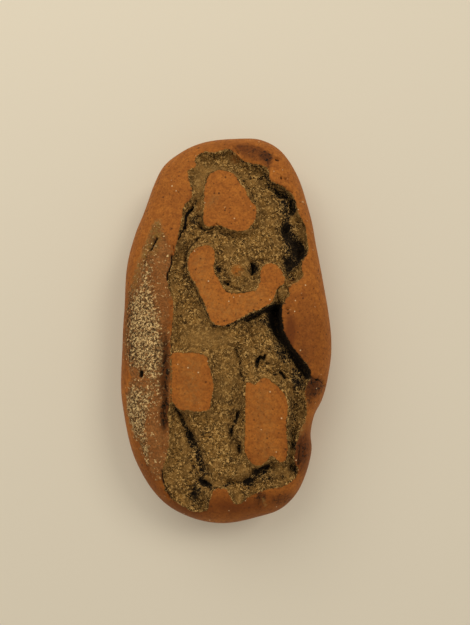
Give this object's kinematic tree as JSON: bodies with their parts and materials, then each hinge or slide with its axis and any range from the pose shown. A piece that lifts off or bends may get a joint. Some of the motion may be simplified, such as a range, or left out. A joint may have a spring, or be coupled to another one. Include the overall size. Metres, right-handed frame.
{
  "type": "figure plaque",
  "caption": "Small worn oval plaque of fired clay with a standing robed figure, arms folded, in low relief in a sunken field.",
  "frame": {"origin": "centre of the bounding box, at the plane of the flat back on which the plaque lies", "axes": "+Z out of the carved face, +Y toward the figure's head, +X toward the right edge as seen from the face"},
  "size_m": [0.0484, 0.089, 0.018],
  "materials": {
    "fired_clay": "matt orange-brown earthenware, unglazed, worn smooth on the rim and the high places, with gritty olive-brown soil in the recesses and a cream-speckled crust on one flank"
  },
  "bodies": {
    "root": {"plaque": "fired_clay"}
  },
  "joints": []
}
